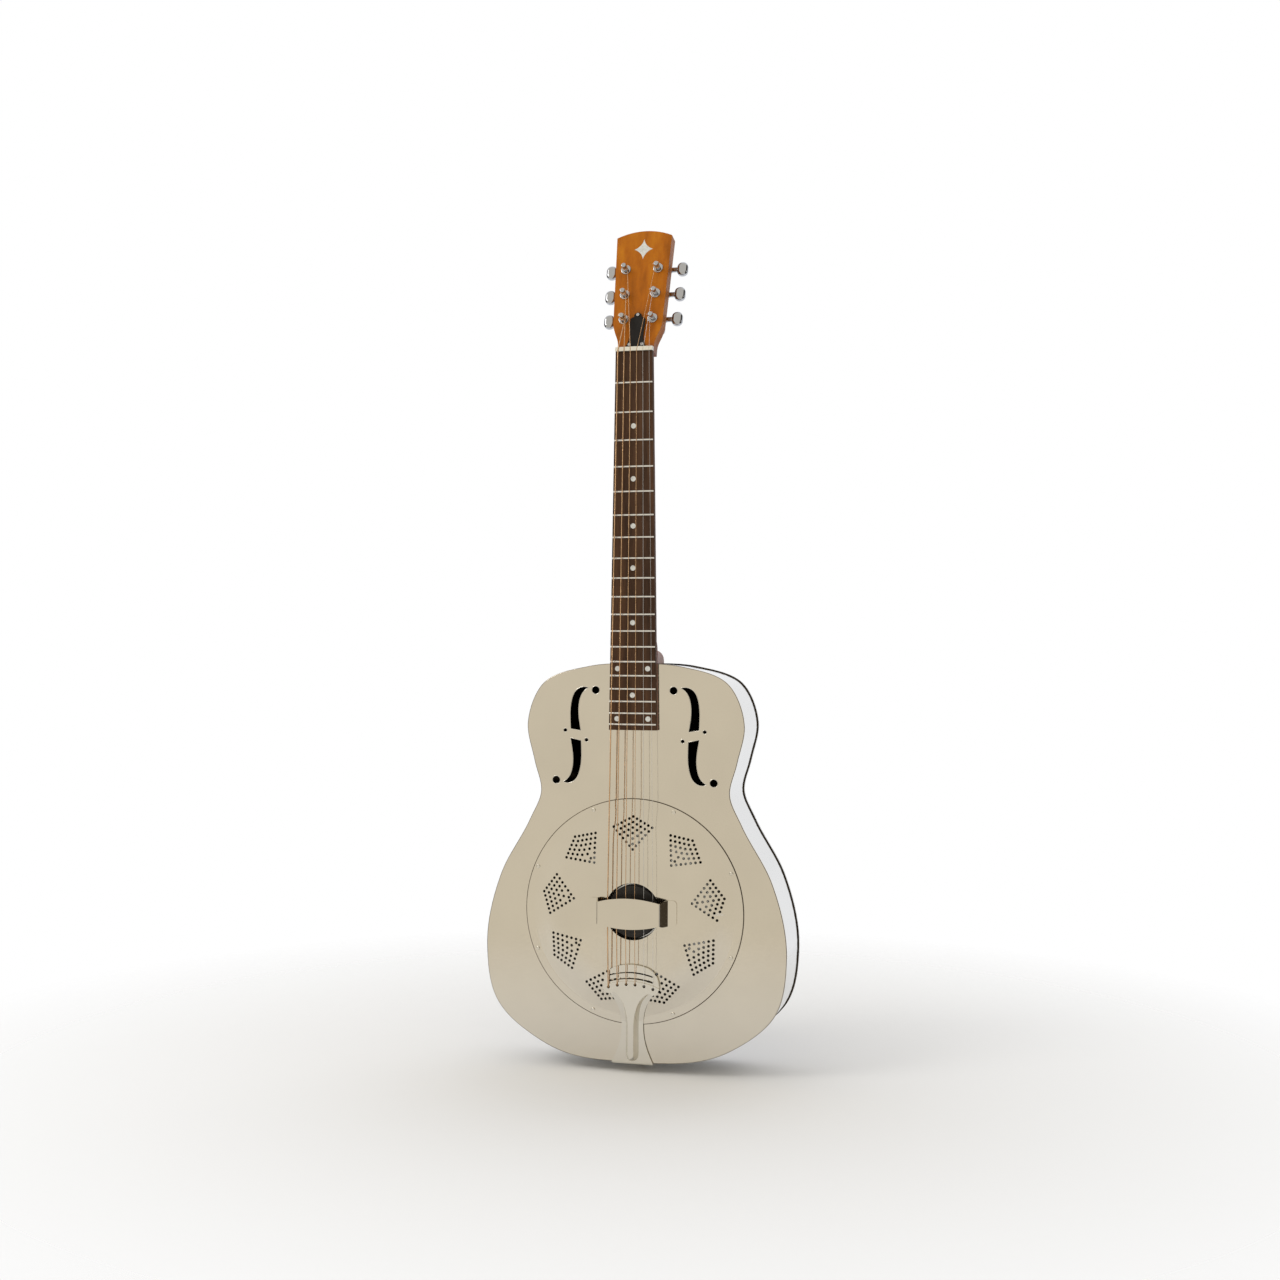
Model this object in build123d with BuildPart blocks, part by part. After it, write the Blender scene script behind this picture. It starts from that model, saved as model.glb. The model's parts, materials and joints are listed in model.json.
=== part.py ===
"""Single-cone resonator guitar with a metal body, held upright.

Frame: the origin is the middle of the strap button's waist, +Z runs up the neck,
the face looks along -Y and the treble side is +X. Millimetres.
Heights above the body's top plate are called "rise": positive towards the player.
"""
import os
from math import asin, cos, degrees, pi, radians, sin, sqrt, tan

from build123d import *

# ---------------------------------------------------------------- driving sizes
# body
body_length = 452.0
body_depth = 86.5
lower_bout = 352.0
waist = 222.0
upper_bout = 255.0
plate_wall = 1.2
rim_depth = 4.0
rim_radius = 1.0
side_wall = 1.0
seam_gap = 0.05

# strings and neck
scale_length = 635.0
fret_count = 19
joint_fret = 14
joint_overhang = 1.9
nut_width = 43.2
board_taper = 0.0288
board_end_past_fret = 6.5
board_thickness = 6.0
board_rise = 8.7
board_radius = 305.0
neck_depth_nut = 15.5
neck_depth_joint = 18.5
heel_length = 46.0
heel_reach = 66.0

# frets and markers
fret_width = 2.2
fret_height = 1.1
fret_tang = 2.0
tang_width = 0.6
dot_diameter = 6.0
dot_depth = 1.5
single_dots = (3, 5, 7, 9, 12, 17)
double_dots = (15, 19)
double_dot_share = 0.66

# nut
nut_length = 5.0
nut_top_rise = 10.9
nut_slot_rise = 9.95
nut_spread = 36.5
nut_break = 0.4

# headstock
head_tilt = 15.3
head_root_rise = 1.9
head_length = 153.4
head_shoulder = 146.1
head_top_width = 65.8
head_low_width = 57.8
head_low = 33.4
head_thickness = 15.0

# resonator
well_radius = 118.0
well_wall = 1.0
well_depth = 36.0
ledge_width = 10.0
cone_wall = 0.8
cone_apex_radius = 31.0
cone_apex_rise = -6.0
biscuit_radius = 30.0
biscuit_height = 9.0
saddle_length = 62.0
saddle_thickness = 3.6
saddle_sink = 4.0
saddle_top_rise = 14.0
saddle_spread = 53.0
cover_radius = 127.0
cover_wall = 1.0
cover_crown = 3.8
cover_opening_radius = 32.25
cover_flat = 9.0
cover_screw_circle = 122.7
cover_screw_count = 8
vent_groups = 9
vent_radius = 1.6
vent_outer = 107.4
vent_inner = 70.4
vent_side = 95.4
vent_half_width = 22.5

# hand rest
rest_wall = 1.4
rest_rise = 24.0
rest_top_half = 36.5
rest_foot_half = 42.2
rest_foot_end = 51.8
rest_height = 34.6
rest_end_height = 24.6
rest_foot_height = 29.0

# tailpiece
tail_wall = 1.3
tail_face_rise = 10.8
tail_hole_pitch = 10.4
tail_hole_reach = 90.0
tail_hole_radius = 1.7
tail_fold_reach = 56.0
tail_step = 1.5

# strap button
button_waist_radius = 3.8
button_cap_radius = 6.4
button_waist_half = 3.5
button_cap_length = 2.6
button_screw_radius = 2.0

# neck stick
stick_width = 30.0
stick_height = 22.0
stick_rise = -50.0
support_length = 28.0

# truss rod
rod_radius = 2.5
rod_rise = -5.8
rod_clearance = 0.2
truss_pocket_width = 9.0
truss_pocket_depth = 9.0
truss_cover_wall = 1.6

# tuners
post_rows = (41.4, 72.9, 104.7)
post_offsets = (17.1, 18.2, 19.2)
post_radius = 2.8
post_waist_radius = 2.2
post_top = 12.0
post_waist_low = 1.9
post_waist_high = 8.4
post_foot_radius = 2.4
bushing_radius = 4.9
washer_radius = 5.9
washer_thickness = 1.3
running_gap = 0.08
gear_teeth = 14
gear_module = 0.8
gear_width = 3.6
worm_radius = 2.9
worm_depth_behind_face = 22.0
worm_shaft_radius = 2.0
worm_turns = 4
thread_width = 0.55
tooth_width = 1.0
housing_wall = 1.2
housing_depth = 13.0
button_reach = 23.4
button_width = 12.8
button_height = 16.6
button_thickness = 8.4
tuner_screw_radius = 1.3

# strings, bass to treble
string_diameters = (1.35, 1.07, 0.81, 0.61, 0.41, 0.30)
string_turns = (1.9, 3.0, 3.2, 3.5, 4.0, 4.0)
string_rest_gap = 0.05
turns_lift = 0.3
ball_radius = 1.8
ball_length = 3.0

# ---------------------------------------------------------------- derived places
tail_z = button_waist_half + tail_wall
top_y = -body_depth / 2
back_y = body_depth / 2


def fret_drop(n):
    """Distance from the nut to fret n."""
    return scale_length * (1 - 2 ** (-n / 12))


body_top_z = tail_z + body_length
nut_z = body_top_z + joint_overhang + fret_drop(joint_fret)
saddle_z = nut_z - scale_length
board_end_z = nut_z - fret_drop(fret_count) - board_end_past_fret
glue_rise = board_rise - board_thickness


def board_half(z):
    """Half width of the fingerboard at height z."""
    return nut_width / 2 + board_taper / 2 * (nut_z - z)


def front(rise):
    """Plane parallel to the face at a rise, drawn in X and Z, facing the player."""
    return Plane(origin=(0, top_y - rise, 0), x_dir=(1, 0, 0), z_dir=(0, -1, 0))


def across(z):
    """Plane square to the neck at height z, drawn in X and rise."""
    return Plane(origin=(0, top_y, z), x_dir=(1, 0, 0), z_dir=(0, 0, -1))


def side(x):
    """Plane parallel to the guitar's middle plane, drawn in Z and rise."""
    return Plane(origin=(x, top_y, 0), x_dir=(0, 0, 1), z_dir=(1, 0, 0))


tilt = radians(head_tilt)
head = Plane(
    origin=(0, top_y - head_root_rise, nut_z),
    x_dir=(1, 0, 0),
    z_dir=(0, -cos(tilt), sin(tilt)),
)
cone_axis = Axis((0, top_y, saddle_z), (0, -1, 0))


def finish(piece, name):
    """Label one finished piece and write it to its own file."""
    piece.label = name
    export_step(piece, f"parts/{name}.step")
    solids = piece.solids()
    print(f"{name}: {len(solids)} solid(s), {sum(s.volume for s in solids):.1f} mm3")


os.makedirs("parts", exist_ok=True)


# ---------------------------------------------------------------- body shell
def loop_directions(points):
    """Direction of a smooth closed outline at each of its points."""
    directions = []
    for i, point in enumerate(points):
        back = point - points[i - 1]
        ahead = points[(i + 1) % len(points)] - point
        blend = back.normalized() * ahead.length + ahead.normalized() * back.length
        directions.append(blend.normalized())
    return directions


def body_shape(rise, inset):
    """The body's outline at a rise, drawn inset from the rim."""
    half_low = lower_bout / 2
    half_waist = waist / 2
    half_up = upper_bout / 2
    points = [
        (0, 0),
        (half_low * 0.645, 0.044 * body_length),
        (half_low * 0.93, 0.139 * body_length),
        (half_low, 0.275 * body_length),
        (half_low * 0.905, 0.46 * body_length),
        (half_waist + 0.2 * (half_low - half_waist), 0.603 * body_length),
        (half_waist, 0.672 * body_length),
        (half_waist + 0.5 * (half_up - half_waist), 0.753 * body_length),
        (half_up, 0.848 * body_length),
        (half_up * 0.86, 0.947 * body_length),
        (half_up * 0.42, 0.993 * body_length),
        (0, body_length),
    ]
    right = [Vector(x, tail_z + z) for x, z in points]
    left = [Vector(-p.X, p.Y) for p in reversed(right[1:-1])]
    rim = right + left
    along = loop_directions(rim)
    inner = [point + inset * Vector(-way.Y, way.X) for point, way in zip(rim, along)]
    with BuildSketch(front(rise)) as shape:
        with BuildLine():
            Spline(inner, tangents=along, periodic=True)
        make_face()
    return shape.sketch


def f_hole_limbs():
    """The two slots of the treble-side sound hole, as closed outlines."""
    upper_outer = [(54.0, 423.9), (60.5, 425.2), (69.0, 421.4), (74.6, 410.0), (76.3, 392.0), (75.8, 376.6)]
    upper_inner = [(63.2, 374.6), (65.8, 391.0), (65.6, 406.0), (62.0, 417.0), (54.0, 423.9)]
    lower_inner = [(62.8, 363.6), (62.4, 348.0), (64.6, 329.0), (71.8, 316.8), (79.6, 314.4), (84.6, 316.2)]
    lower_outer = [(84.6, 316.2), (77.6, 321.8), (73.4, 333.0), (73.0, 348.0), (76.0, 366.4)]
    return (upper_outer, upper_inner), (lower_inner, lower_outer)


def f_hole_shape(rise, hand):
    """One sound hole: two slots, two eyes and two small dots."""
    with BuildSketch(front(rise)) as shape:
        for first, second in f_hole_limbs():
            with BuildLine():
                one = Spline([(hand * x, tail_z + z) for x, z in first])
                two = Spline([(hand * x, tail_z + z) for x, z in second])
                for leave, arrive in ((one @ 1, two @ 0), (two @ 1, one @ 0)):
                    if (leave - arrive).length > 0.01:
                        Line(leave, arrive)
            make_face()
        with Locations((hand * 45.8, tail_z + 421.3), (hand * 92.6, tail_z + 317.9)):
            Circle(4.75)
        with Locations((hand * 82.0, tail_z + 375.1), (hand * 56.6, tail_z + 364.2)):
            Circle(2.4)
    return shape.sketch


def shell_plate(outer_rise, inward):
    """A tray-shaped plate: a sheet with its rim turned down over the sides."""
    with BuildPart() as plate:
        extrude(body_shape(outer_rise, 0), amount=inward * rim_depth)
        outer = plate.faces().sort_by(Axis.Y)[0 if inward < 0 else -1]
        fillet(outer.edges(), radius=rim_radius)
        inner_rise = outer_rise + inward * plate_wall
        extrude(
            body_shape(inner_rise, plate_wall),
            amount=inward * rim_depth,
            mode=Mode.SUBTRACT,
        )
    return plate.part


with BuildPart() as body_top:
    add(shell_plate(0, -1))
    with BuildSketch(front(1)):
        with Locations((0, saddle_z)):
            Circle(well_radius)
            with PolarLocations(cover_screw_circle, cover_screw_count, start_angle=22.5):
                Circle(1.25)
    extrude(amount=-5, mode=Mode.SUBTRACT)
    for hand in (-1, 1):
        extrude(f_hole_shape(1, hand), amount=-5, mode=Mode.SUBTRACT)
finish(body_top.part, "body_top")

with BuildPart() as body_back:
    add(shell_plate(-body_depth, 1))
finish(body_back.part, "body_back")

side_top = -plate_wall - seam_gap
with BuildPart() as body_sides:
    extrude(body_shape(side_top, plate_wall + seam_gap), amount=-(body_depth + 2 * side_top))
    extrude(
        body_shape(side_top, plate_wall + seam_gap + side_wall),
        amount=-(body_depth + 2 * side_top),
        mode=Mode.SUBTRACT,
    )
    with BuildSketch(Plane.XY.offset(body_top_z + 5)):
        with Locations((0, top_y - stick_rise + stick_height / 2)):
            Rectangle(stick_width + 0.4, stick_height + 0.4)
    extrude(amount=-20, mode=Mode.SUBTRACT)
    with BuildSketch(Plane.XY.offset(tail_z - 5)):
        Circle(button_screw_radius + 0.15)
    extrude(amount=20, mode=Mode.SUBTRACT)
finish(body_sides.part, "body_sides")


# ---------------------------------------------------------------- resonator
def well_disc(low, high, radius, mode=Mode.ADD):
    """A disc on the resonator's axis between two rises."""
    with BuildSketch(front(low)) as disc:
        with Locations((0, saddle_z)):
            Circle(radius)
    extrude(disc.sketch, amount=high - low, mode=mode)


with BuildPart() as sound_well:
    well_top = -plate_wall - seam_gap
    well_low = -well_depth
    ledge_radius = well_radius - ledge_width
    well_disc(well_low - well_wall, well_top, well_radius + well_wall)
    well_disc(well_low, well_top, well_radius, Mode.SUBTRACT)
    well_disc(well_low - well_wall, well_top, ledge_radius, Mode.SUBTRACT)
finish(sound_well.part, "sound_well")

cone_radius = well_radius - 1.0
cone_seat = well_low + seam_gap
with BuildPart() as resonator_cone:
    with BuildSketch(across(saddle_z)):
        with BuildLine():
            rim_in = cone_radius - 6.0
            crown = (0.62 * rim_in, 0.30 * cone_seat + 0.55 * cone_apex_rise)
            Polyline((rim_in, cone_seat), (cone_radius, cone_seat), (cone_radius, cone_seat + cone_wall),
                     (rim_in, cone_seat + cone_wall))
            ThreePointArc((rim_in, cone_seat + cone_wall), (crown[0], crown[1]), (cone_apex_radius, cone_apex_rise))
            Polyline((cone_apex_radius, cone_apex_rise), (2.4, cone_apex_rise), (2.4, cone_apex_rise - cone_wall),
                     (cone_apex_radius, cone_apex_rise - cone_wall))
            ThreePointArc((cone_apex_radius, cone_apex_rise - cone_wall), (crown[0], crown[1] - cone_wall),
                          (rim_in, cone_seat))
        make_face()
    revolve(axis=cone_axis)
finish(resonator_cone.part, "resonator_cone")

biscuit_low = cone_apex_rise + seam_gap
biscuit_top = biscuit_low + biscuit_height
saddle_low = biscuit_top - saddle_sink
with BuildPart() as biscuit:
    well_disc(biscuit_low, biscuit_top, biscuit_radius)
    chamfer(biscuit.faces().sort_by(Axis.Y)[0].edges(), length=1.0)
    well_disc(biscuit_low, saddle_low, 2.0, Mode.SUBTRACT)
    with BuildSketch(front(saddle_low)):
        with Locations((0, saddle_z)):
            Rectangle(saddle_length + 2, saddle_thickness + 0.1)
    extrude(amount=saddle_sink + 1, mode=Mode.SUBTRACT)
finish(biscuit.part, "biscuit")

with BuildPart() as biscuit_screw:
    well_disc(cone_apex_rise - cone_wall - 1.6, cone_apex_rise - cone_wall - seam_gap, 3.6)
    well_disc(cone_apex_rise - cone_wall - 1.6, saddle_low - 0.4, 1.9)
finish(biscuit_screw.part, "biscuit_screw")


def saddle_x(i):
    """Where string i crosses the saddle, bass side negative."""
    return saddle_spread * (i / 5 - 0.5)


with BuildPart() as saddle:
    with BuildSketch(across(saddle_z)):
        half = saddle_length / 2
        foot = biscuit_radius - 0.6
        with BuildLine():
            Polyline((-foot, saddle_low + seam_gap), (foot, saddle_low + seam_gap), (foot, biscuit_top + seam_gap),
                     (half, biscuit_top + 3.0), (half, saddle_top_rise), (-half, saddle_top_rise),
                     (-half, biscuit_top + 3.0), (-foot, biscuit_top + seam_gap), close=True)
        make_face()
    extrude(amount=saddle_thickness / 2, both=True)
finish(saddle.part, "saddle")


# ---------------------------------------------------------------- cover and hand rest
cover_low = seam_gap
cover_top = cover_low + cover_wall


def vent_places():
    """Centres of the vent holes: kite-shaped groups around the cover, points outward."""
    places = []
    for group in range(vent_groups):
        turn = radians(90 + group * 360 / vent_groups)
        for row in range(7):
            share = row / 6
            middle = vent_outer + (vent_inner - vent_outer) * share
            edge_out = vent_side + (vent_inner - vent_side) * share
            edge_across = vent_half_width * (1 - share)
            steps = max(5 - row, 1) if row < 6 else 0
            for step in range(-steps, steps + 1):
                reach = abs(step) / steps if steps else 0
                out = middle + (edge_out - middle) * reach
                aside = edge_across * reach * (1 if step > 0 else -1)
                places.append((out * cos(turn) - aside * sin(turn), saddle_z + out * sin(turn) + aside * cos(turn)))
    return places


def cover_surface(lift):
    """Profile points of the crowned sheet from its flat rim to the centre opening."""
    flat_in = cover_radius - cover_flat
    return [
        (flat_in, cover_low + lift),
        (flat_in - 17, cover_low + lift + 0.62 * cover_crown),
        (0.52 * cover_radius, cover_low + lift + 0.95 * cover_crown),
        (cover_opening_radius, cover_low + lift + cover_crown),
    ]


with BuildPart() as cover_plate:
    with BuildSketch(across(saddle_z)):
        with BuildLine():
            upper = cover_surface(cover_wall)
            lower = cover_surface(0)
            Polyline(lower[0], (cover_radius, cover_low), (cover_radius, cover_top), upper[0])
            Spline(upper, tangents=[(-1, 0), (-1, 0)])
            Line(upper[-1], lower[-1])
            Spline(lower[::-1], tangents=[(1, 0), (1, 0)])
        make_face()
    revolve(axis=cone_axis)
    with BuildSketch(front(12)):
        with Locations(*vent_places()):
            Circle(vent_radius)
    extrude(amount=-14, mode=Mode.SUBTRACT)
    with BuildSketch(front(12)):
        with Locations((0, saddle_z)):
            with PolarLocations(cover_screw_circle, cover_screw_count, start_angle=22.5):
                Circle(1.25)
    extrude(amount=-14, mode=Mode.SUBTRACT)
finish(cover_plate.part, "cover_plate")

with BuildPart() as cover_screws:
    with BuildSketch(front(-5)):
        with Locations((0, saddle_z)):
            with PolarLocations(cover_screw_circle, cover_screw_count, start_angle=22.5):
                Circle(1.15)
    extrude(amount=5 + cover_top + 1.0)
    with BuildSketch(front(cover_top + seam_gap)):
        with Locations((0, saddle_z)):
            with PolarLocations(cover_screw_circle, cover_screw_count, start_angle=22.5):
                Circle(2.2)
    extrude(amount=1.3)
    fillet(cover_screws.faces().group_by(Axis.Y)[0].edges(), radius=0.8)
finish(cover_screws.part, "cover_screws")

rest_low = cover_top + cover_crown + seam_gap
with BuildPart() as hand_rest:
    with BuildSketch(across(saddle_z)):
        with BuildLine():
            top = rest_rise
            under = rest_rise - rest_wall
            lean = (rest_foot_half - rest_top_half) / (rest_rise - rest_low)
            skin = rest_wall * sqrt(1 + lean * lean)
            Polyline(
                (-rest_foot_end, rest_low), (-rest_foot_half + skin, rest_low),
                (-rest_foot_half + skin + lean * (under - rest_low), under),
                (rest_foot_half - skin - lean * (under - rest_low), under),
                (rest_foot_half - skin, rest_low), (rest_foot_end, rest_low),
                (rest_foot_end, rest_low + rest_wall), (rest_foot_half - lean * rest_wall, rest_low + rest_wall),
                (rest_top_half, top), (-rest_top_half, top),
                (-rest_foot_half + lean * rest_wall, rest_low + rest_wall), (-rest_foot_end, rest_low + rest_wall),
                close=True,
            )
        make_face()
    extrude(amount=rest_height / 2, both=True)
    fillet(hand_rest.edges().filter_by(Axis.Z).group_by(Axis.Y)[0], radius=1.8)
    with BuildSketch(front(0)):
        with BuildLine():
            end = (rest_top_half, saddle_z + rest_end_height / 2)
            low_end = (rest_top_half, saddle_z - rest_end_height / 2)
            ThreePointArc((-end[0], end[1]), (0, saddle_z + rest_height / 2), end)
            Line(end, low_end)
            ThreePointArc(low_end, (0, saddle_z - rest_height / 2), (-low_end[0], low_end[1]))
            Line((-low_end[0], low_end[1]), (-end[0], end[1]))
        make_face()
        for hand in (-1, 1):
            with Locations((hand * (rest_foot_end - 8), saddle_z)):
                RectangleRounded(16, rest_foot_height, 4.5)
    extrude(amount=40, mode=Mode.INTERSECT)
finish(hand_rest.part, "hand_rest")

# ---------------------------------------------------------------- tailpiece
tail_outer_z = tail_z - seam_gap
hole_z = tail_z + tail_hole_reach


def tail_x(i):
    """Where string i enters the tailpiece, bass side negative."""
    return tail_hole_pitch * (i - 2.5)


def arched_z(x, middle):
    """Height of an arch line across the tailpiece head: highest in the middle."""
    bow = 85.0
    return middle - (bow - sqrt(bow * bow - x * x))


def rib_shape(rise, grow):
    """Outline of the raised rib: slim at the tail and flaring into the head."""
    points = [(2.6, 8.0), (3.4, 14.0), (3.3, 30.0), (3.6, 48.0), (6.2, 62.0), (12.5, 74.0), (21.0, 83.0)]
    right = [(x + grow, tail_z + z - (0.3 * grow if z < 10 else 0)) for x, z in points]
    foot = (0, tail_z + 6.0 - grow)
    end = (0, tail_z + 91.0 + 0.4 * grow)
    with BuildSketch(front(rise)) as shape:
        with BuildLine():
            Spline([foot] + right + [end] + [(-x, z) for x, z in reversed(right)], periodic=True)
        make_face()
    return shape.sketch


def head_shape(rise, inset):
    """Outline of the tailpiece head: arched top and square shoulders."""
    points = [(22.0, 80.0), (31.2, 81.5), (32.0, 92.0), (29.5, 100.0), (22.5, 107.0), (11.0, 111.0)]
    middle = 97.0
    share = 1 - inset / 15.5
    right = [(x - inset, tail_z + middle + (z - middle) * share) for x, z in points]
    with BuildSketch(front(rise)) as shape:
        with BuildLine():
            Line((-right[0][0], right[0][1]), right[0])
            Spline(right + [(0, tail_z + middle + 15.0 * share)] + [(-x, z) for x, z in reversed(right)])
        make_face()
    return shape.sketch


def arch_band(rise, middle, width):
    """A curved band across the head, as a slot or a step."""
    reach = 25.5
    with BuildSketch(front(rise)) as shape:
        with BuildLine():
            ends = [(x, arched_z(x, tail_z + middle)) for x in (-reach, 0, reach)]
            ThreePointArc(*ends)
            Line(ends[2], (ends[2][0], ends[2][1] - width))
            ThreePointArc(*[(x, z - width) for x, z in reversed(ends)])
            Line((ends[0][0], ends[0][1] - width), ends[0])
        make_face()
    return shape.sketch


def above_arch(rise, middle):
    """Everything above an arch line across the head."""
    reach = 40.0
    with BuildSketch(front(rise)) as shape:
        with BuildLine():
            ends = [(x, arched_z(x, tail_z + middle)) for x in (-reach, 0, reach)]
            ThreePointArc(*ends)
            Polyline(ends[2], (reach, tail_z + 130), (-reach, tail_z + 130), ends[0])
        make_face()
    return shape.sketch


flange_rise = 1.3
flange_lift = 5.6
head_face_rise = tail_face_rise - tail_step
step_z = 93.5
with BuildPart() as head_pocket:
    extrude(head_shape(flange_lift - 3, 2.0), amount=tail_face_rise - tail_wall - flange_lift + 3)
    extrude(above_arch(head_face_rise - tail_wall, step_z - tail_wall), amount=5, mode=Mode.SUBTRACT)

with BuildPart() as tailpiece:
    with BuildSketch(side(-40)):
        with BuildLine():
            Polyline(
                (tail_outer_z - tail_wall, -1.5), (tail_outer_z, -1.5), (tail_outer_z, flange_rise),
                (tail_z + 48, flange_rise), (tail_z + 82, flange_lift), (tail_z + 84, flange_lift),
                (tail_z + 84, flange_lift + tail_wall), (tail_z + 81.8, flange_lift + tail_wall),
                (tail_z + 47.8, flange_rise + tail_wall), (tail_outer_z - tail_wall, flange_rise + tail_wall),
                close=True,
            )
        make_face()
    extrude(amount=80)
    fillet(tailpiece.edges().filter_by(Axis.X).group_by(Axis.Z)[0].sort_by(Axis.Y)[0], radius=2.2)
    with BuildSketch(front(-20)):
        with BuildLine():
            edge = [(24.0, 0.0), (20.0, 8.5), (14.6, 24.0), (12.6, 44.0), (15.0, 60.0), (22.0, 74.0), (30.5, 84.0)]
            right = [(x, tail_z + z) for x, z in edge]
            low = (24.0, tail_z - 4.0)
            Spline(right)
            Polyline(right[-1], (-right[-1][0], right[-1][1]))
            Spline([(-x, z) for x, z in reversed(right)])
            Polyline((-right[0][0], right[0][1]), (-low[0], low[1]), low, right[0])
        make_face()
    extrude(amount=60, mode=Mode.INTERSECT)
    loft([rib_shape(flange_rise + 0.5, 4.4), rib_shape(tail_face_rise, 0)])
    extrude(head_shape(flange_lift, 0), amount=tail_face_rise - flange_lift)
    extrude(above_arch(head_face_rise, step_z), amount=5, mode=Mode.SUBTRACT)
    with BuildSketch(side(-40)):
        with BuildLine():
            Polyline(
                (tail_outer_z, -1.5), (tail_outer_z, flange_rise), (tail_z + 48, flange_rise),
                (tail_z + 82, flange_lift), (tail_z + 120, flange_lift), (tail_z + 120, -1.5), close=True,
            )
        make_face()
    extrude(amount=80, mode=Mode.SUBTRACT)
    loft([rib_shape(flange_rise - 3, 5.0), rib_shape(tail_face_rise - tail_wall, -1.2)], mode=Mode.SUBTRACT)
    add(head_pocket.part, mode=Mode.SUBTRACT)
    extrude(arch_band(head_face_rise + 3, 104.0, 1.6), amount=-6, mode=Mode.SUBTRACT)
    extrude(arch_band(head_face_rise + 3, 98.0, 2.4), amount=-6, mode=Mode.SUBTRACT)
    for i in range(6):
        with BuildSketch(front(tail_face_rise + 2)):
            with Locations((tail_x(i), arched_z(tail_x(i), hole_z))):
                Circle(tail_hole_radius)
        extrude(amount=-5, mode=Mode.SUBTRACT)
    with BuildSketch(Plane.XY.offset(tail_outer_z - tail_wall)):
        with BuildLine():
            fold_top = top_y - flange_rise
            Polyline((-24, fold_top), (24, fold_top), (13, top_y + tail_fold_reach - 12), (13, top_y + tail_fold_reach),
                     (-13, top_y + tail_fold_reach), (-13, top_y + tail_fold_reach - 12), close=True)
        make_face()
        fillet(vertices().group_by(Axis.Y)[-1], radius=6)
    extrude(amount=tail_wall)
    with BuildSketch(Plane.XY.offset(tail_outer_z - tail_wall - 2)):
        Circle(button_screw_radius + 0.15)
    extrude(amount=6, mode=Mode.SUBTRACT)
finish(tailpiece.part, "tailpiece")


# ---------------------------------------------------------------- strap button
button_low = -button_waist_half - button_cap_length
with BuildPart() as strap_button:
    with BuildSketch(Plane.XY.offset(button_low)):
        Circle(button_cap_radius)
    extrude(amount=button_cap_length)
    with BuildSketch(Plane.XY.offset(-button_waist_half)):
        Circle(button_waist_radius)
    extrude(amount=2 * button_waist_half - 1.5)
    with BuildSketch(Plane.XY.offset(button_waist_half - 1.5)):
        Circle(button_waist_radius + 1.6)
    extrude(amount=1.5 - 2 * seam_gap)
    fillet(strap_button.faces().sort_by(Axis.Z)[0].edges(), radius=1.0)
    with BuildSketch(Plane.XY.offset(button_low)):
        Circle(button_screw_radius + 0.15)
    extrude(amount=20, mode=Mode.SUBTRACT)
    with BuildSketch(Plane.XY.offset(button_low)):
        Circle(3.4)
    extrude(amount=1.8, mode=Mode.SUBTRACT)
finish(strap_button.part, "strap_button")

strap_screw_length = 30.0
with BuildPart() as strap_screw:
    with BuildSketch(Plane.XY.offset(button_low + 0.2)):
        Circle(3.2)
        Rectangle(0.9, 7, mode=Mode.SUBTRACT)
    extrude(amount=1.5)
    with BuildSketch(Plane.XY.offset(button_low + 1.2)):
        Circle(button_screw_radius)
    extrude(amount=strap_screw_length)
finish(strap_screw.part, "strap_screw")

# ---------------------------------------------------------------- neck stick
stick_low_z = tail_z + plate_wall + seam_gap + side_wall + seam_gap
stick_y = top_y - stick_rise + stick_height / 2
with BuildPart() as neck_stick:
    with BuildSketch(Plane.XY.offset(stick_low_z)):
        with Locations((0, stick_y)):
            Rectangle(stick_width, stick_height)
    extrude(amount=body_top_z - seam_gap - stick_low_z)
    fillet(neck_stick.edges().filter_by(Axis.Z), radius=2.0)
    with BuildSketch(Plane.XY.offset(stick_low_z)):
        Circle(button_screw_radius + 0.1)
    extrude(amount=strap_screw_length, mode=Mode.SUBTRACT)
finish(neck_stick.part, "neck_stick")

stick_back = stick_y + stick_height / 2
back_inner = back_y - plate_wall
with BuildPart() as stick_supports:
    for place in (tail_z + 60, saddle_z + 40):
        with BuildSketch(Plane.XZ.offset(-(stick_back + seam_gap))):
            with Locations((0, place)):
                Rectangle(stick_width - 6, support_length)
        extrude(amount=-(back_inner - stick_back - 2 * seam_gap))
finish(stick_supports.part, "stick_supports")

# ---------------------------------------------------------------- headstock inlay
inlay_middle = 130.0
inlay_depth = 1.2


def inlay_shape(grow):
    """A plain four-pointed lozenge with hollow sides."""
    wide = 11.0 + grow
    tall = 13.0 + grow
    waist_in = 0.36
    corners = [(wide, 0), (0, tall), (-wide, 0), (0, -tall)]
    with BuildSketch(head) as shape:
        with BuildLine():
            for (ax, ay), (bx, by) in zip(corners, corners[1:] + corners[:1]):
                middle = ((ax + bx) * waist_in, inlay_middle + (ay + by) * waist_in)
                ThreePointArc((ax, inlay_middle + ay), middle, (bx, inlay_middle + by))
        make_face()
    return shape.sketch


with BuildPart() as head_inlay:
    extrude(inlay_shape(0), amount=-inlay_depth)
finish(head_inlay.part, "head_inlay")

# ---------------------------------------------------------------- neck
head_half_top = head_top_width / 2
head_half_low = head_low_width / 2
heel_top_z = body_top_z + seam_gap


def neck_section(z, depth):
    """Round-backed neck section at height z, flat on the glue side."""
    with BuildSketch(across(z)) as shape:
        with BuildLine():
            half = board_half(z)
            Line((-half, glue_rise), (half, glue_rise))
            EllipticalCenterArc((0, glue_rise), half, depth, start_angle=180, arc_size=180)
        make_face()
    return shape.sketch


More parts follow.
